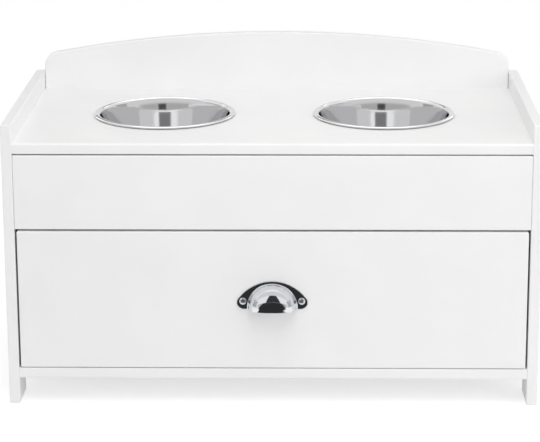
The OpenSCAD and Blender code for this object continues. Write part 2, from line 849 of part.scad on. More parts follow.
side_panel(-1);  // side_panel_left
side_panel(1);  // side_panel_right
top_panel();
bottom_panel();
back_board();
front_apron();
panel_dowels();
panel_cam_bolts();
panel_cam_discs();
back_screws();
cabinet_rail(-1);  // cabinet_rail_left
cabinet_rail(1);  // cabinet_rail_right
cabinet_rail_screws();
front_roller_rivets();
front_roller(-1);  // front_roller_left
front_roller(1);  // front_roller_right
drawer_front();
drawer_side(-1);  // drawer_side_left
drawer_side(1);  // drawer_side_right
drawer_back();
drawer_bottom();
drawer_dowels();
drawer_cam_bolts();
drawer_cam_discs();
drawer_back_screws();
drawer_bottom_screws();
drawer_rail(-1);  // drawer_rail_left
drawer_rail(1);  // drawer_rail_right
drawer_rail_screws();
rear_roller_rivets();
rear_roller(-1);  // rear_roller_left
rear_roller(1);  // rear_roller_right
cup_pull();
pull_screws();
bowl(-1);  // bowl_left
bowl(1);  // bowl_right
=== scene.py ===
# %% [markdown]
# # A raised dog feeder with a storage drawer
#
# The object is a small white cabinet. Two steel bowls hang in holes in its top, an arched
# board closes its back, and one wide drawer with a chromed cup pull fills its front.
#
# The boards, rails, rollers and screws come ready made as a fixed frame. This lesson gives
# every one of them its finish. It also models by hand what a camera looks at longest: the
# bowls, the pull and the two screws that hold it.
#
# The photograph shows one side only and names no material. What the lesson says about the
# materials, and about all that is hidden, is assumed from how such furniture is often made.

# %% Load the frame and keep its size
import json
import math

import bmesh
import bpy
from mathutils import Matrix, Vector


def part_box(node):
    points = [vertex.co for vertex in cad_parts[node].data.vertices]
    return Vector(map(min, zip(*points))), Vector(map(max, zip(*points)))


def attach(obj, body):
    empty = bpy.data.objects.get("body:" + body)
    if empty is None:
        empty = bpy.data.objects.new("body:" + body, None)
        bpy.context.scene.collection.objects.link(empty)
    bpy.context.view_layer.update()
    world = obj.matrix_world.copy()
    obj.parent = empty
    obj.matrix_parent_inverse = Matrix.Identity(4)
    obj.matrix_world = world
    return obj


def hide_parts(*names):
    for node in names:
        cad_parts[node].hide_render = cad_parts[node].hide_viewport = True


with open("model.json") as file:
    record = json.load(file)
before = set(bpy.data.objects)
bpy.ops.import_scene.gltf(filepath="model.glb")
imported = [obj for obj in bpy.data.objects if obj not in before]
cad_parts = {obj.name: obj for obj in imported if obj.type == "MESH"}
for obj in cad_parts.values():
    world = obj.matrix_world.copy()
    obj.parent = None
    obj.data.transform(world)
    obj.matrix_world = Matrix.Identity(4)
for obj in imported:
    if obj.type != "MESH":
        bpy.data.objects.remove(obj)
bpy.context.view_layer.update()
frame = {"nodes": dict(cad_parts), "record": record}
nodes = frame["nodes"]
MM = 0.001

front_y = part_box("drawer_front")[0].y
top_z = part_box("top_panel")[1].z
print("nodes:", len(nodes))

# %% [markdown]
# ## The camera
#
# The photograph shows the feeder from in front and a little above. Its upright edges stay
# nearly upright, which points to a long lens and a large lens shift, or to later straightening.
# The lens and the shift were chosen, and the place and the angles were then fitted to
# corners read from the photograph.
#
# Only a small shift is used, so that the camera serves other sides too. The cost can be seen.
# The left foot closes in by 5 pixels, the rear corner of the right side panel stands 10 or 11
# too far out, and the panels touch the picture's border, where the photograph has a margin.
# A somewhat shorter lens would have come closer.

# %% Place the camera
picture_w = 540
focal_px = 2000
sensor_mm = 36
shift_down = 0.12
right_mm = 43.7
ahead_mm = 2140.5
high_mm = 826.2
looks_down = 14.03
leans = 0.21
looks_left = 1.17

camera_data = bpy.data.cameras.new("camera")
camera_data.sensor_width = sensor_mm
camera_data.lens = focal_px / picture_w * sensor_mm
camera_data.shift_y = -shift_down
camera = bpy.data.objects.new("camera", camera_data)
bpy.context.scene.collection.objects.link(camera)
camera.location = (right_mm * MM, front_y - ahead_mm * MM, high_mm * MM)
camera.rotation_euler = [math.radians(a) for a in (90 - looks_down, leans, looks_left)]
bpy.context.scene.camera = camera
bpy.context.scene.view_settings.view_transform = "Standard"
print("lens in mm:", round(camera_data.lens, 1))

# %% [markdown]
# ## Colours and nodes
#
# Colours are written as the hex codes that a paint chart or an image editor shows. Blender
# works with linear light, so one function turns a code into linear red, green and blue.
# Another function adds one node of any kind, sets its settings and plugs in its links, which
# keeps every material below as short as a recipe.

# %% Helpers for every material
def colour(code):
    """Linear RGBA of an sRGB hex code such as F3F2EF."""
    parts = [int(code[i:i + 2], 16) / 255 for i in (0, 2, 4)]
    return [p / 12.92 if p <= 0.04045 else ((p + 0.055) / 1.055) ** 2.4 for p in parts] + [1]


def add(tree, kind, values={}, links={}, **settings):
    """Adds a node; values fill its inputs, links plug outputs into them, the rest is set."""
    made = tree.nodes.new("ShaderNode" + kind)
    for name, value in settings.items():
        setattr(made, name, value)
    for socket, value in values.items():
        made.inputs[socket].default_value = value
    for socket, output in links.items():
        tree.links.new(output, made.inputs[socket])
    return made


def material(name):
    """A new material, its empty node tree and its output node."""
    made = bpy.data.materials.new(name)
    made.use_nodes = True
    made.node_tree.nodes.clear()
    return made, made.node_tree, add(made.node_tree, "OutputMaterial")


print("a shade of white, linear:", [round(v, 3) for v in colour("F1F1F2")])

# %% [markdown]
# ## White all round
#
# The picture has a pure white background. A world that is white at strength 1 for the camera
# and for mirror rays gives that, and the metal shows the same white. The light that the world
# throws on the object is weaker, so that white boards keep their shading.

# %% The world
ambient = 0.65
world = bpy.data.worlds.new("white_room")
bpy.context.scene.world = world
world.use_nodes = True
world.node_tree.nodes.clear()

rays = add(world.node_tree, "LightPath")
looked_at = add(world.node_tree, "Math", operation="MAXIMUM",
                links={0: rays.outputs["Is Camera Ray"], 1: rays.outputs["Is Glossy Ray"]})
white_rays = add(world.node_tree, "Math", operation="MAXIMUM",
                 links={0: looked_at.outputs[0], 1: rays.outputs["Is Transmission Ray"]})
strength = add(world.node_tree, "MapRange", values={"To Min": ambient, "To Max": 1.0},
               links={"Value": white_rays.outputs[0]})
sky = add(world.node_tree, "Background", values={"Color": colour("FFFFFF")},
          links={"Strength": strength.outputs["Result"]})
room = add(world.node_tree, "OutputWorld", links={"Surface": sky.outputs[0]})
print("world: seen as 1.0, lights with", ambient)

# %% [markdown]
# ## The floor
#
# The floor is one large sheet of white paper, made as a flat sheet between four corners. In
# this light it would come out a little grey beside the white world. For the camera and for
# mirror rays it therefore glows, and only the rest of its brightness comes from the light
# that falls on it, so a faint shadow stays under the cabinet. To all other rays it is plain
# white paper, which throws light back up at the front.

# %% A floor that is white and keeps the shadow
def sheet(name, corners):
    """A flat stage sheet between four corners: near left, near right, far left, far right."""
    bpy.ops.object.select_all(action="DESELECT")
    bpy.ops.mesh.primitive_plane_add(size=1)
    made = bpy.context.object
    made.name = name
    for vertex, corner in zip(made.data.vertices, corners):
        vertex.co = corner
    return made


def level(z, left, right, near, far):
    """Corners of a level sheet."""
    return [(left, near, z), (right, near, z), (left, far, z), (right, far, z)]


floor_half = 15
floor_glow = 0.62
floor = sheet("floor", level(0, -floor_half, floor_half, -floor_half, floor_half))
paper, tree, out = material("white_paper_floor")
rays = add(tree, "LightPath")
looked_at = add(tree, "Math", operation="MAXIMUM",
                links={0: rays.outputs["Is Camera Ray"], 1: rays.outputs["Is Glossy Ray"]})
glow = add(tree, "Emission", values={"Color": colour("FFFFFF"), "Strength": floor_glow})
lit = add(tree, "BsdfDiffuse", values={"Color": colour("C6C6C6")})
white = add(tree, "BsdfDiffuse", values={"Color": colour("F2F2F2")})
shown = add(tree, "AddShader", links={0: glow.outputs[0], 1: lit.outputs[0]})
either = add(tree, "MixShader", links={0: looked_at.outputs[0], 1: white.outputs[0],
                                       2: shown.outputs[0]})
tree.links.new(either.outputs[0], out.inputs["Surface"])
floor.data.materials.append(paper)
print("floor: glows with", floor_glow, "and is", 2 * floor_half, "m wide")

# %% [markdown]
# ## Soft lamps
#
# How the real feeder was lit isn't known. Five places for soft boxes were tried, and a
# least-squares fit to the brightness of the photograph's boards gave light to these three.
# Their powers were then set near what the fit gave. One hangs above the front edge,
# one stands on the right and a weak low one in front. More than half of the light on the
# boards comes from the room.

# %% Hang the lamps
def soft_box(name, tone, size, place, power):
    """A square area lamp at its place, aimed at the middle of the feeder."""
    data = bpy.data.lights.new(name, "AREA")
    data.color = colour(tone)[:3]
    data.size = size
    data.energy = power
    lamp = bpy.data.objects.new(name, data)
    bpy.context.scene.collection.objects.link(lamp)
    lamp.location = place
    lamp.rotation_euler = (middle - Vector(place)).to_track_quat("-Z", "Y").to_euler()
    lamp.visible_glossy = False
    print(name, "power in W:", power)


middle = Vector((0, 0, 0.2))
soft_box("lamp_above", "FFFDF9", 0.9, (0.1, -0.6, 1.25), 4.9)
soft_box("lamp_right", "F9F9FF", 1.2, (2.1, -1.2, 0.8), 9)
soft_box("lamp_low", "F6F6FF", 1.2, (0.1, -1.6, 0.25), 2.3)

# %% [markdown]
# ## What the metal mirrors
#
# Chrome and polished steel have hardly any colour of their own. What makes them look like
# metal is the dark and light of the room round them, and in a white void they would vanish.
# What really stood there can't be known. The names of these cards are only a guess, and their
# places and tones were changed, render after render, until the reflections fell about where
# the photograph has them. They are made for that one view. From other sides the metal shows
# the same cards, but nothing vouches for what it shows there.
#
# In this imagined room the pull is low, so it shows a dark floor, the edge of a table and a
# camera's stand, which narrows upwards. The bowls are higher and look upwards. A reflector
# over the front edge hides the stand from them, so they show a grey wall, a small dark camera
# and, after two bounces, the dark and the bright behind the feeder. A bright ceiling whitens
# their rims.
#
# Only mirror rays see the cards, so they throw no shadow and change no colour. Their borders
# fade out, because a hard border would draw a line on the metal that the photograph hasn't.

# %% Put up the cards
def standing(y, base, top, low, high):
    """Corners of a sheet that stands across the view, as two spans in x and two heights."""
    return [(base[0], y, low), (base[1], y, low), (top[0], y, high), (top[1], y, high)]


def beside(x, near, far, low, high):
    """Corners of a sheet that stands along the view."""
    return [(x, near, low), (x, far, low), (x, near, high), (x, far, high)]


def card(name, tone, corners, fade_across, fade_up, power=1.0):
    """A sheet only mirror rays see, fading out over a share of its width and its height."""
    made = sheet(name, corners)
    paint, tree, out = material(name)
    spread = add(tree, "SeparateXYZ", links={0: add(tree, "TexCoord").outputs["UV"]})
    solid = []
    for i, share in enumerate((fade_across, fade_up)):
        side = add(tree, "Math", values={1: 0.5}, links={0: spread.outputs[i]},
                   operation="PINGPONG")
        solid.append(add(tree, "MapRange", values={"From Max": share},
                         links={"Value": side.outputs[0]}, interpolation_type="SMOOTHSTEP"))
    shown = add(tree, "Math", links={i: solid[i].outputs[0] for i in (0, 1)},
                operation="MULTIPLY")
    even = add(tree, "Emission", values={"Color": colour(tone), "Strength": power})
    clear = add(tree, "BsdfTransparent")
    faded = add(tree, "MixShader", links={0: shown.outputs[0], 1: clear.outputs[0],
                                          2: even.outputs[0]})
    tree.links.new(faded.outputs[0], out.inputs["Surface"])
    made.data.materials.append(paint)
    made.visible_camera = made.visible_diffuse = made.visible_shadow = False
    made.visible_transmission = made.visible_volume_scatter = False
    print("card:", name)


z = 2 * MM
card("dark_floor", "343435", [(-1.1, -1.4, z), (1, -1.4, z), (-0.25, -0.26, z), (0.25, -0.26, z)],
     0.1, 0.04)
card("dark_table", "343435", standing(-0.78, (-0.9, 0.88), (-0.43, 0.5), -0.05, 0.34), 0.1, 0.1)
card("dark_stand", "3C3C3E", standing(-2.3, (-1.0, 1.35), (-0.6, 0.9), 0.78, 4.4), 0.12, 0.01)
card("dark_camera", "4A4A4A", standing(-2.2, (-0.15, 0.6), (-0.15, 0.6), 0.36, 0.64), 0.25, 0.25)
card("reflector", "E6E6E6", standing(-0.32, (-1.6, 1.6), (-1.6, 1.6), 0.335, 1.9), 0.05, 0.03)
card("grey_wall", "BABABA", standing(-3.4, (-6, 6), (-6, 6), -0.4, 1.3), 0.25, 0.25)
card("grey_left", "B4B4B4", beside(-3.0, -2.2, 2.9, -0.4, 1.35), 0.25, 0.12)
card("grey_right", "BABABA", beside(3.0, -2.2, 2.9, -0.4, 1.35), 0.25, 0.12)
card("dark_back", "989898", standing(3.2, (-2.1, 1.2), (-2.1, 1.2), 0.6, 2.9), 0.2, 0.2)
card("bright_back", "FFFFFF", standing(3.3, (-4.4, 3.8), (-4.4, 3.8), 0.7, 3.0), 0.2, 0.2, 1.4)
card("bright_ceiling", "FFFFFF", level(2.6, -1.3, 1.3, -0.25, 2.4), 0.15, 0.15, 1.8)

# %% [markdown]
# ## Coats
#
# Four finishes on this feeder are a pale coat over something that doesn't show: lacquer, foil,
# epoxy powder and moulded nylon right through. Each could be a flat colour, but then a board
# looks like paper. What tells the eye that it is a coat is a white that drifts by a shade, a
# gloss that is never quite even, and a fine relief. One function draws all three.
#
# Its patterns are noise on Object coordinates, so that they run over all faces of a piece
# without seams. A pattern's scale is one divided by its size in metres. The feeder looks new, so
# no edge is worn and no corner is chipped.

# %% A function for coats
drift_mm = 70
haze_mm = 25
haze_spread = 0.08


def coat(name, thin, thick, rough, peel_mm, peel_high_mm):
    """A coat that drifts between two whites, with uneven gloss and a fine peel."""
    made, tree, out = material(name)
    place = add(tree, "TexCoord").outputs["Object"]
    drift = add(tree, "TexNoise", values={"Scale": 1 / (drift_mm * MM)}, links={"Vector": place})
    tint = add(tree, "Mix", data_type="RGBA", values={6: colour(thin), 7: colour(thick)},
               links={0: drift.outputs[0]})
    haze = add(tree, "TexNoise", values={"Scale": 1 / (haze_mm * MM)}, links={"Vector": place})
    gloss = add(tree, "MapRange", links={"Value": haze.outputs[0]},
                values={"To Min": rough - haze_spread, "To Max": rough + haze_spread})
    peel = add(tree, "TexNoise", values={"Scale": 1 / (peel_mm * MM)}, links={"Vector": place})
    relief = add(tree, "Bump", values={"Distance": peel_high_mm * MM, "Strength": 1.0},
                 links={"Height": peel.outputs[0]})
    skin = add(tree, "BsdfPrincipled", values={"IOR": 1.5},
               links={"Base Color": tint.outputs[2], "Roughness": gloss.outputs[0],
                      "Normal": relief.outputs[0]})
    tree.links.new(skin.outputs[0], out.inputs["Surface"])
    print("coat:", name)
    return made


# %% [markdown]
# ## White satin lacquer
#
# The cabinet and the drawer front are medium density fibreboard, sanded, sealed and sprayed.
# The lacquer levels into a soft sheen with an orange peel as wide as a rice grain. The peel
# could be modelled, but it is a hundredth of a millimetre high, so bump is enough. It only
# shows where light grazes a board.

# %% Spray the boards
lacquer = coat("sprayed_satin_lacquer", "F1F1F2", "F8F8F8", 0.38, 2.2, 0.012)

# %% [markdown]
# ## White foil
#
# The drawer's box is board under a foil that was printed white and pressed on. It is duller,
# flatter and a little warmer than the lacquer. Its emboss is finer than a pixel. It is drawn
# about three times as coarse, so that it shows at all.

# %% Press on the foil
foil = coat("pressed_white_foil", "EDEDEB", "F5F5F3", 0.55, 0.9, 0.02)

# %% [markdown]
# ## Epoxy powder
#
# The rails are folded steel, dusted with epoxy powder and baked. The powder melts into a
# creamy coat that is glossier than the lacquer, with a deeper and closer peel. The same
# function serves, with other numbers.

# %% Bake the rails
epoxy = coat("baked_epoxy_powder", "E9E9E3", "F3F3EE", 0.35, 1.2, 0.03)

# %% [markdown]
# ## Nylon
#
# The rollers are injection moulded nylon, waxy and slightly yellow. The steel mould leaves a
# faint grain, which is drawn coarser than the real one, because that would be too fine to see.
# Nylon lets a little light in, but a roller is so small and so hidden that it can't be seen.

# %% Mould the rollers
nylon = coat("moulded_nylon", "E4E3DC", "F0EFE8", 0.45, 1.0, 0.008)

# %% [markdown]
# ## Chrome on a die casting
#
# The pull is cast in zinc, polished on a wheel and plated with nickel and chromium. The plate
# is a nearly perfect mirror with a trace of blue. Casting and hand polishing leave it gently
# wavy, about a fingertip from wave to wave, and that bends the reflections just enough for the
# eye to read metal. Polishing haze makes some spots a little less sharp than others. It could
# be a perfect mirror, but no hand-polished casting is one.

# %% Plate the pull
haze_waves = 5
haze_share = 0.4


def polished(name, tone, rough, wave_mm, wave_high_mm):
    """A bare or plated metal with a slow wave and an uneven polish."""
    made, tree, out = material(name)
    place = add(tree, "TexCoord").outputs["Object"]
    haze = add(tree, "TexNoise", links={"Vector": place},
               values={"Scale": 1 / (haze_waves * wave_mm * MM)})
    gloss = add(tree, "MapRange", links={"Value": haze.outputs[0]},
                values={"To Min": (1 - haze_share) * rough, "To Max": (1 + haze_share) * rough})
    wave = add(tree, "TexNoise", values={"Scale": 1 / (wave_mm * MM)}, links={"Vector": place})
    relief = add(tree, "Bump", values={"Distance": wave_high_mm * MM, "Strength": 1.0},
                 links={"Height": wave.outputs[0]})
    skin = add(tree, "BsdfPrincipled", values={"Base Color": colour(tone), "Metallic": 1.0},
               links={"Roughness": gloss.outputs[0], "Normal": relief.outputs[0]})
    tree.links.new(skin.outputs[0], out.inputs["Surface"])
    print("metal:", name)
    return made


chrome = polished("chrome_plated_casting", "DDDFE2", 0.06, 8, 0.006)

# %% [markdown]
# ## Zinc plate
#
# Screws, bolts and rivets are steel, zinc plated in a tumbling barrel. They look silvery blue
# and half dull, and no two patches reflect alike. That is the chrome's idea with a short wave
# and a rough polish, so the same function makes it.

# %% Plate the screws
zinc_plate = polished("barrel_plated_zinc", "DFE2E5", 0.34, 1.5, 0.01)

# %% [markdown]
# ## Cast zinc
#
# The cam discs are bare die-cast zinc, grey and grainy from the mould. The grain is drawn
# coarser than it is, or it wouldn't show in the picture.

# %% Cast the discs
cast_zinc = polished("die_cast_zinc", "9FA1A4", 0.42, 0.8, 0.02)

# %% [markdown]
# ## Steel that was polished while it turned
#
# The bowls are stainless steel, deep drawn and then polished with a wheel while they turn on a
# lathe. The polish leaves rings finer than a hair, which the eye sees only as a slight
# softness along the circles. Here they are drawn about 0.9 mm apart, as fine as the picture
# can show. The sheet also keeps faint dents from drawing, which bend the reflections slowly.
#
# Rings could come from a picture that is wrapped round the bowl. Noise along the distance from
# the bowl's axis does it without one. Both bowls stand at the same distance from the middle,
# so the absolute value of X serves them both.

# %% Polish the bowls
bowl_low, bowl_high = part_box("bowl_right")
axis_at = (bowl_low + bowl_high) / 2
ring_mm = 0.9
ring_high_mm = 0.0004
dent_mm = 14
dent_high_mm = 0.007
dullest = 0.08
sharpest = 0.025

steel, tree, out = material("lathe_polished_stainless_steel")
place = add(tree, "TexCoord").outputs["Object"]
axes = add(tree, "SeparateXYZ", links={0: place})
folded = add(tree, "Math", operation="ABSOLUTE", links={0: axes.outputs["X"]})
sideways = add(tree, "Math", operation="SUBTRACT", values={1: axis_at.x},
               links={0: folded.outputs[0]})
lengthways = add(tree, "Math", operation="SUBTRACT", values={1: axis_at.y},
                 links={0: axes.outputs["Y"]})
flat = add(tree, "CombineXYZ", links={0: sideways.outputs[0], 1: lengthways.outputs[0]})
radius = add(tree, "VectorMath", operation="LENGTH", links={0: flat.outputs[0]})
slanted = add(tree, "Math", operation="ADD", links={0: radius.outputs["Value"],
                                                    1: axes.outputs["Z"]})
rings = add(tree, "TexNoise", noise_dimensions="1D", values={"Scale": 1 / (ring_mm * MM)},
            links={"W": slanted.outputs[0]})
waves = add(tree, "TexNoise", values={"Scale": 1 / (dent_mm * MM)}, links={"Vector": place})
ring_relief = add(tree, "Bump", values={"Distance": ring_high_mm * MM, "Strength": 1.0},
                  links={"Height": rings.outputs[0]})
relief = add(tree, "Bump", values={"Distance": dent_high_mm * MM, "Strength": 1.0},
             links={"Height": waves.outputs[0], "Normal": ring_relief.outputs[0]})
gloss = add(tree, "MapRange", values={"To Min": sharpest, "To Max": dullest},
            links={"Value": rings.outputs[0]})
skin = add(tree, "BsdfPrincipled", values={"Base Color": colour("DEDEDF"), "Metallic": 1.0},
           links={"Roughness": gloss.outputs[0], "Normal": relief.outputs[0]})
tree.links.new(skin.outputs[0], out.inputs["Surface"])
print("rings about x in mm:", round(axis_at.x / MM, 1), "y:", round(axis_at.y / MM, 1))

# %% [markdown]
# ## Beech dowels
#
# The dowels are turned beech, pale brown with small darker flecks, drawn out along the dowel.
# Rings of growth could be drawn too, but a dowel is too thin to show them. The Mapping node
# squeezes the noise along the dowel, which makes the flecks long there. The cabinet's dowels
# lie along X and the drawer's along Y, so there are two.

# %% Turn the dowels
grain_mm = 0.7
grain_high_mm = 0.03
stretched = 0.12


def beech(name, squeeze):
    """Turned beech whose grain runs where the squeeze is smallest."""
    made, tree, out = material(name)
    drawn = add(tree, "Mapping", values={"Scale": squeeze},
                links={"Vector": add(tree, "TexCoord").outputs["Object"]})
    grain = add(tree, "TexNoise", values={"Scale": 1 / (grain_mm * MM), "Detail": 4.0},
                links={"Vector": drawn.outputs[0]})
    fleck = add(tree, "MapRange", values={"From Min": 0.35, "From Max": 0.65},
                links={"Value": grain.outputs[0]})
    tint = add(tree, "Mix", data_type="RGBA", values={6: colour("BF9563"), 7: colour("DDBC8B")},
               links={0: fleck.outputs[0]})
    relief = add(tree, "Bump", values={"Distance": grain_high_mm * MM, "Strength": 1.0},
                 links={"Height": grain.outputs[0]})
    skin = add(tree, "BsdfPrincipled", values={"Roughness": 0.6},
               links={"Base Color": tint.outputs[2], "Normal": relief.outputs[0]})
    tree.links.new(skin.outputs[0], out.inputs["Surface"])
    print("wood:", name)
    return made


beech_across = beech("turned_beech_across", (stretched, 1, 1))
beech_deep = beech("turned_beech_lengthways", (1, stretched, 1))

# %% [markdown]
# ## Every part gets its finish
#
# The record of the frame names a finish for every part. One table maps those names to the
# materials above. Only the drawer's dowels differ, because they lie the other way.

# %% Hand out the finishes
finishes = {"white_lacquered_board": lacquer, "white_foiled_board": foil,
            "epoxy_coated_steel": epoxy, "moulded_nylon": nylon, "chromed_zinc": chrome,
            "zinc_plated_steel": zinc_plate, "die_cast_zinc": cast_zinc,
            "polished_stainless_steel": steel, "beech_dowel": beech_across}
for part in frame["record"]["subparts"]:
    node = nodes[part["node"]]
    node.data.materials.clear()
    node.data.materials.append(finishes[part["material_slot"]])
nodes["drawer_dowels"].data.materials[0] = beech_deep
print("finishes:", len(finishes) + 1)

# %% [markdown]
# ## Working by hand in code
#
# The new pieces are made the way one makes them with the mouse: a primitive is put down, then
# extruded, scaled, spun, bridged and bevelled in edit mode. A script can't click, so a helper
# selects by place instead. Everything is deselected before a new start, because an operator
# acts on all that is selected.

# %% Helpers for modelling
weld_mm = 0.002
crease = math.radians(50)


def start(primitive, name, **place):
    """Puts down a primitive, alone selected, and names it."""
    bpy.ops.object.select_all(action="DESELECT")
    getattr(bpy.ops.mesh, f"primitive_{primitive}_add")(**place)
    made = bpy.context.object
    made.name = made.data.name = name
    return made


def choose(piece, kind, test):
    """In edit mode, selects only the vertices, edges or faces that pass the test."""
    bpy.ops.mesh.select_mode(type=kind)
    bpy.ops.mesh.select_all(action="DESELECT")
    shape = bmesh.from_edit_mesh(piece.data)
    parts = {"VERT": shape.verts, "EDGE": shape.edges, "FACE": shape.faces}[kind]
    chosen = [part for part in parts if test(part)]
    for part in chosen:
        part.select_set(True)
    bmesh.update_edit_mesh(piece.data)
    return len(chosen)


def close_up(towards):
    """Merges doubles and turns all faces so that the one nearest a point looks at it."""
    bpy.ops.mesh.select_all(action="SELECT")
    bpy.ops.mesh.remove_doubles(threshold=weld_mm * MM)
    bpy.ops.mesh.normals_make_consistent(inside=False)
    shape = bmesh.from_edit_mesh(bpy.context.object.data)
    near = min(shape.faces, key=lambda f: (f.calc_center_median() - towards).length)
    if near.normal.dot(towards - near.calc_center_median()) < 0:
        bpy.ops.mesh.flip_normals()


def modify(piece, kind, **settings):
    """Adds a modifier and applies it."""
    modifier = piece.modifiers.new(kind.lower(), kind)
    for name, value in settings.items():
        setattr(modifier, name, value)
    bpy.context.view_layer.objects.active = piece
    bpy.ops.object.modifier_apply(modifier=modifier.name)


def settle(piece, body, node, slot, smooth=40):
    """Applies the place, smooths the faces and hands the piece to its body."""
    bpy.ops.object.select_all(action="DESELECT")
    piece.select_set(True)
    bpy.context.view_layer.objects.active = piece
    bpy.ops.object.transform_apply(location=True, rotation=True, scale=True)
    bpy.ops.object.shade_smooth_by_angle(angle=math.radians(smooth))
    piece.data.materials.clear()
    piece.data.materials.append(finishes[slot])
    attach(piece, body)
    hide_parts(node)
    corners = [[round(f(v.co[i] for v in piece.data.vertices) / MM, 1) for i in range(3)]
               for f in (min, max)]
    print(piece.name, "faces:", len(piece.data.polygons), "box in mm:", corners)


print("points closer than", weld_mm, "mm are merged")

# %% [markdown]
# ## The bowls
#
# A feeding bowl is deep drawn from one round sheet of stainless steel and polished. It hangs
# by a rolled rim that rests on the board. It could be a lathe profile that is spun once. Here
# one circle is extruded ring by ring, as the drawing press pulls the sheet down, because each
# ring then says which part of the bowl it makes. Solidify gives the sheet its thickness
# downwards, so that the polished inside keeps the exact curve.

# %% The rings of the bowl
bowl_low, bowl_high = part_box("bowl_left")
rim_r = (bowl_high.x - bowl_low.x) / 2 / MM
crest_z = (bowl_high.z - top_z) / MM
mouth_r = 75.5
rim_bend = 4.2
sheet_t = 0.8
floor_r = 20
lean_mm = 7.5
seat_gap = 0.1
bowl_edge = 0.25
bowl_sides = 160
wall_steps = 6
deep = (top_z - bowl_low.z) / MM - sheet_t
lean = math.atan(lean_mm / deep)


def arc(centre, radius, first, last, steps):
    """Points in radius and height along an arc, between two angles in degrees."""
    turns = [math.radians(first + (last - first) * i / steps) for i in range(steps + 1)]
    return [(centre[0] + radius * math.cos(t), centre[1] + radius * math.sin(t)) for t in turns]


crest = (mouth_r + rim_bend, crest_z - rim_bend)
roll_w = rim_r - crest[0]
edge_z = sheet_t + seat_gap
roll = [(crest[0] + roll_w * math.cos(math.radians(a)),
         edge_z + (crest_z - edge_z) * math.sin(math.radians(a))) for a in range(0, 90, 9)]
bend = arc(crest, rim_bend, 90, 180 - math.degrees(lean), 7)
foot_r = mouth_r - lean_mm
floor_at = (foot_r - floor_r * math.cos(lean) + floor_r * (1 - math.sin(lean)) * math.tan(lean),
            floor_r - deep)
round_foot = arc(floor_at, floor_r, -math.degrees(lean), -90, 14)
wall = [tuple(a + (b - a) * i / wall_steps for a, b in zip(bend[-1], round_foot[0]))
        for i in range(1, wall_steps)]
flat_floor = [(floor_at[0] * s, -deep) for s in (0.75, 0.5, 0.25, 0.1)]
rings = roll + bend + wall + round_foot + flat_floor
print("bowl rings:", len(rings), "depth in mm:", round(deep, 1))

# %% Draw the bowl down ring by ring
bowl_at = (bowl_low + bowl_high) / 2
bowl = start("circle", "steel_bowl_left", vertices=bowl_sides, radius=rings[0][0] * MM,
             location=(bowl_at.x, bowl_at.y, top_z + rings[0][1] * MM))
bpy.ops.object.mode_set(mode="EDIT")
bpy.ops.mesh.select_all(action="SELECT")
for (r0, z0), (r1, z1) in zip(rings, rings[1:]):
    bpy.ops.mesh.extrude_region_move()
    bpy.ops.transform.resize(value=(r1 / r0, r1 / r0, 1), center_override=bowl_at)
    bpy.ops.transform.translate(value=(0, 0, (z1 - z0) * MM))
bpy.ops.mesh.extrude_region_move()
bpy.ops.mesh.merge(type="CENTER")
close_up(Vector((0, 0, 0.1)))
bpy.ops.object.mode_set(mode="OBJECT")
modify(bowl, "SOLIDIFY", thickness=sheet_t * MM, offset=-1, use_even_offset=True)
modify(bowl, "BEVEL", width=bowl_edge * MM, segments=2, limit_method="ANGLE",
       angle_limit=crease)
settle(bowl, "bowl_left", "bowl_left", "polished_stainless_steel")

# %% Copy it for the other hole
other = bowl.copy()
other.data = bowl.data.copy()
other.name = other.data.name = "steel_bowl_right"
bpy.context.scene.collection.objects.link(other)
other.parent = None
other.location.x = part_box("bowl_right")[0].x - bowl_low.x
settle(other, "bowl_right", "bowl_right", "polished_stainless_steel")

# %% [markdown]
# ## The cup pull
#
# The pull is one thin zinc casting, chromed: a crescent flange that lies on the drawer, and a
# half-round cup that stands out of it for the fingertips. It could be cut from a sphere and a
# disc, but then the corner between them has no soft fillet and its edges are hard to round.
#
# Here two outlines carry its shape. The inner one is the arc where the cup leaves the flange.
# The outer one runs round the two screws and over the top, and is spun from one point, as with
# a pair of compasses. A bridge between them is the flange, and rings drawn out of the inner
# one are the cup.

# %% Sizes of the pull
quarter = math.radians(90)
pull_low, pull_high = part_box("cup_pull")
foot_z = pull_low.z
plate_t = 1.8
plate_y = front_y - plate_t * MM
cup_r = 27.5
cup_out = (front_y - pull_low.y) / MM
cup_full = 2.35
lip_rise = 8
cup_up = 2.9
cup_sides = 132
cup_steps = 26
end_steps = 12
fillet_r = 1.4
outline_r = 1.2
pull_edge = 0.4
near_mm = 0.01
screw_at = (33, 10.6)
end_at = (33, 8.4)
arc_r = 47
arc_z = (pull_high.z - foot_z) / MM - arc_r
end_r = arc_r - math.hypot(end_at[0], end_at[1] - arc_z)
meet = math.degrees(math.atan2(end_at[1] - arc_z, end_at[0]))
base_x = math.sqrt(cup_r ** 2 - cup_up ** 2)


def on_pull(x, z, y=plate_y):
    """A point of the pull, from its middle and foot in mm."""
    return Vector((x * MM, y, foot_z + z * MM))


print("flange ends: radius in mm", round(end_r, 2), "meet the arc at", round(meet, 1), "degrees")

# %% Draw both outlines and bridge them
pull = start("circle", "chrome_cup_pull", vertices=cup_sides, radius=cup_r * MM,
             location=on_pull(0, cup_up), rotation=(quarter, 0, 0))
bpy.ops.object.transform_apply(location=True, rotation=True, scale=True)
bpy.ops.object.mode_set(mode="EDIT")
bpy.ops.mesh.select_all(action="SELECT")
bpy.ops.mesh.bisect(plane_co=on_pull(0, 0), plane_no=(0, 0, 1), clear_inner=True)
base_steps = len(bmesh.from_edit_mesh(pull.data).edges)
print("edges of the cup's base:", base_steps)

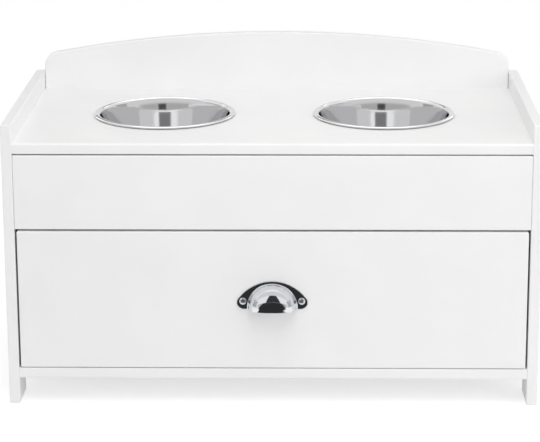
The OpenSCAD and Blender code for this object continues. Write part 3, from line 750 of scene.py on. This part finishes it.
bpy.ops.mesh.primitive_plane_add(size=1 * MM, location=on_pull(base_x, 0))
bpy.ops.mesh.merge(type="CENTER")
step = on_pull(end_at[0], end_at[1] - end_r) - on_pull(base_x, 0)
bpy.ops.mesh.extrude_region_move(TRANSFORM_OT_translate={"value": step})
arc_steps = base_steps - 2 - 2 * end_steps
into_board = (0, 1, 0)
for steps, angle, centre in ((end_steps, 90 + meet, on_pull(*end_at)),
                             (arc_steps, 180 - 2 * meet, on_pull(0, arc_z)),
                             (end_steps, 90 + meet, on_pull(-end_at[0], end_at[1]))):
    bpy.ops.mesh.spin(steps=steps, angle=math.radians(angle), axis=into_board, center=centre)
bpy.ops.mesh.extrude_region_move(TRANSFORM_OT_translate={"value": (step.x, 0, -step.z)})
bpy.ops.mesh.select_all(action="SELECT")
bpy.ops.mesh.bridge_edge_loops()
print("faces of the flange:", len(bmesh.from_edit_mesh(pull.data).faces))
print("left foot in mm:", round(min(v.co.x for v in bmesh.from_edit_mesh(pull.data).verts) / MM, 2))

# %% Draw the cup out of the flange and trim its lip
turns = [math.radians(90 * i / cup_steps) for i in range(cup_steps + 1)]
cup_rings = [(cup_r * math.cos(t) ** (2 / cup_full), cup_out * math.sin(t) ** (2 / cup_full))
             for t in turns]
cup_rings = [(cup_r, plate_t)] + [p for p in cup_rings if p[1] > plate_t + 2 * fillet_r]


def on_base(edge):
    """Whether an edge lies on the arc where the cup leaves the flange."""
    return all(abs((v.co - on_pull(0, cup_up)).length / MM - cup_r) < near_mm
               and abs(v.co.y - plate_y) < near_mm * MM for v in edge.verts)


def on_outline(edge):
    """Whether an edge lies on the flange's front and turns down to the board."""
    return (all(abs(v.co.y - plate_y) < near_mm * MM for v in edge.verts)
            and edge.calc_face_angle(0) > math.radians(60))


print("base edges:", choose(pull, "EDGE", on_base))
for (r0, out0), (r1, out1) in zip(cup_rings, cup_rings[1:]):
    bpy.ops.mesh.extrude_region_move()
    bpy.ops.transform.resize(value=(max(r1, 0.001) / r0, 1, max(r1, 0.001) / r0),
                             center_override=on_pull(0, cup_up))
    bpy.ops.transform.translate(value=(0, (out0 - out1) * MM, 0))

choose(pull, "FACE", lambda f: f.calc_center_median().y < plate_y - near_mm * MM)
lip = math.radians(lip_rise)
bpy.ops.mesh.bisect(plane_co=(0, front_y, foot_z), plane_no=(0, math.sin(lip), math.cos(lip)),
                    clear_inner=True)
print("fillet edges:", choose(pull, "EDGE", on_base))
bpy.ops.mesh.bevel(offset=fillet_r * MM, segments=3)
close_up(Vector((0, -1, foot_z)))
bpy.ops.object.mode_set(mode="OBJECT")
modify(pull, "SOLIDIFY", thickness=plate_t * MM, offset=-1, use_even_offset=True)

bpy.ops.object.mode_set(mode="EDIT")
print("outline edges:", choose(pull, "EDGE", on_outline))
bpy.ops.mesh.bevel(offset=outline_r * MM, segments=4, clamp_overlap=False)
bpy.ops.object.mode_set(mode="OBJECT")
modify(pull, "BEVEL", width=pull_edge * MM, segments=3, limit_method="ANGLE",
       angle_limit=math.radians(40))
settle(pull, "drawer", "cup_pull", "chromed_zinc", 60)

# %% [markdown]
# ## The pull's screws
#
# Two pan-head screws with a cross recess hold the flange. A head could be a flattened sphere
# stuck on a rod, but a real screw is one body. So the shank comes first, the head is drawn
# wider out of its front face, and a dome is drawn on that in rings. The cross is pressed in at
# the factory, so here it is cut with a cross-shaped tool made of two blocks.

# %% Turn one screw
head_r = 4
head_h = 2.4
side_h = 0.7
shank_r = 1.75
shank_len = 8.8
tip_h = 0.5
dome_turn = 75
dome_steps = 7
screw_sides = 48
screw = start("cylinder", "pull_screw_right", vertices=screw_sides, radius=shank_r * MM,
              depth=(shank_len + plate_t) * MM, rotation=(quarter, 0, 0),
              location=on_pull(*screw_at, plate_y + (shank_len + plate_t) / 2 * MM))
bpy.ops.object.transform_apply(location=True, rotation=True, scale=True)
bpy.ops.object.mode_set(mode="EDIT")
screw_axis = on_pull(*screw_at)
choose(screw, "FACE", lambda f: f.normal.y < -0.9)
bpy.ops.mesh.extrude_region_move()
bpy.ops.transform.resize(value=(head_r / shank_r, 1, head_r / shank_r),
                         center_override=screw_axis)
bpy.ops.mesh.extrude_region_move(TRANSFORM_OT_translate={"value": (0, -side_h * MM, 0)})
dome = [math.radians(dome_turn * i / dome_steps) for i in range(dome_steps + 1)]
for low_turn, high_turn in zip(dome, dome[1:]):
    bpy.ops.mesh.extrude_region_move()
    shrink = math.cos(high_turn) / math.cos(low_turn)
    bpy.ops.transform.resize(value=(shrink, 1, shrink), center_override=screw_axis)
    rise = (head_h - side_h) * (math.sin(high_turn) - math.sin(low_turn)) / math.sin(dome[-1])
    bpy.ops.transform.translate(value=(0, -rise * MM, 0))
front_of_head = plate_y - head_h * MM
choose(screw, "FACE", lambda f: f.normal.y > 0.9 and f.calc_center_median().y > front_y)
bpy.ops.mesh.extrude_region_move(TRANSFORM_OT_translate={"value": (0, -tip_h * MM, 0)})
close_up(Vector((screw_axis.x, -1, screw_axis.z)))
bpy.ops.object.mode_set(mode="OBJECT")

# %% Press the cross into its head
cross_deep = 1.3
cross_turn = 20
cross_w = 0.95
cross_len = 4.6
screw_edge = 0.12
cross = start("cube", "cross_tool", size=1, location=(screw_axis.x, front_of_head, screw_axis.z),
              scale=(cross_w * MM, 2 * cross_deep * MM, cross_len * MM))
bpy.ops.object.mode_set(mode="EDIT")
choose(cross, "FACE", lambda f: f.normal.y > 0.9)
bpy.ops.transform.resize(value=(0.7, 1, 0.5), center_override=cross.location)
bpy.ops.mesh.select_all(action="SELECT")
bpy.ops.mesh.duplicate_move()
bpy.ops.transform.rotate(value=quarter, orient_axis="Y", center_override=cross.location)
bpy.ops.mesh.select_all(action="SELECT")
bpy.ops.transform.rotate(value=math.radians(cross_turn), orient_axis="Y",
                         center_override=cross.location)
bpy.ops.object.mode_set(mode="OBJECT")
modify(screw, "BOOLEAN", object=cross, operation="DIFFERENCE", solver="EXACT", use_self=True)
bpy.data.objects.remove(cross)
modify(screw, "BEVEL", width=screw_edge * MM, segments=2, limit_method="ANGLE",
       angle_limit=crease)
print("faces of one screw:", len(screw.data.polygons))

# %% Copy it to the other side
left_screw = screw.copy()
left_screw.data = screw.data.copy()
left_screw.name = left_screw.data.name = "pull_screw_left"
bpy.context.scene.collection.objects.link(left_screw)
left_screw.location.x = -2 * screw_at[0] * MM
for piece in (screw, left_screw):
    settle(piece, "drawer", "pull_screws", "zinc_plated_steel")
